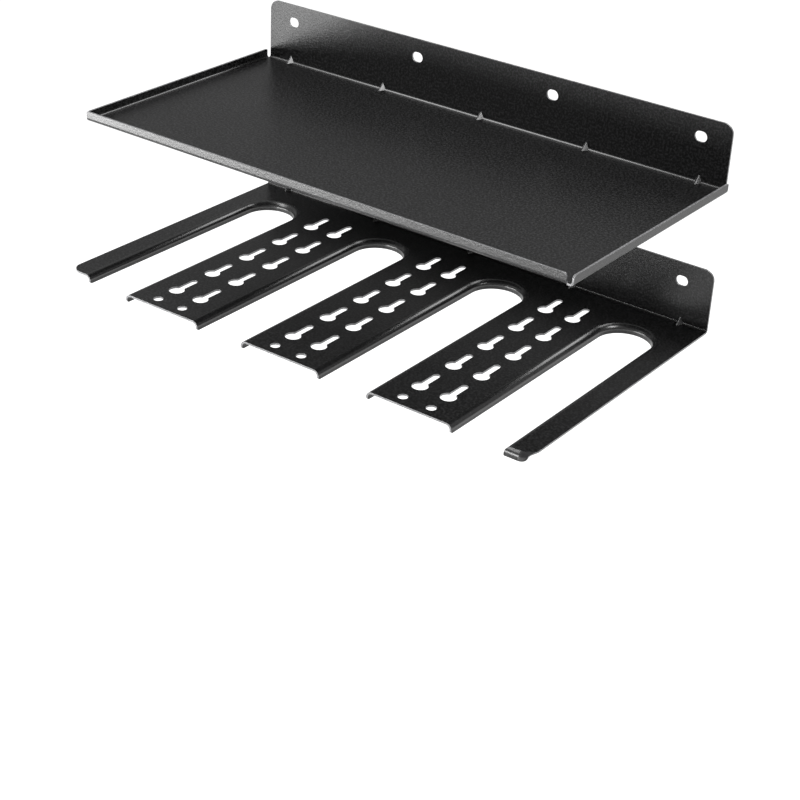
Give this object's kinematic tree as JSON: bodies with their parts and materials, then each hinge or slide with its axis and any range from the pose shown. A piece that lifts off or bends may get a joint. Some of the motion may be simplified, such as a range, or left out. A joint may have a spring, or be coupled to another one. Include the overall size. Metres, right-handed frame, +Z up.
{
  "type": "wall mounted power tool organizer",
  "caption": "Two-tier wall rack of folded black sheet steel: a lipped tray above a comb-shaped shelf with open slots for drills and keyholes for screwdrivers.",
  "frame": {"origin": "on the wall plane, in the middle of the tray's row of screw holes", "axes": "+X along the rack, +Y into the wall, +Z up; the shelves reach out towards -Y"},
  "size_m": [0.43, 0.24, 0.1685],
  "materials": {
    "black_powder_coat": "fine-textured semi-matte powder coat"
  },
  "bodies": {
    "root": {"upper_tray": "black_powder_coat", "lower_drill_shelf": "black_powder_coat"}
  },
  "joints": []
}
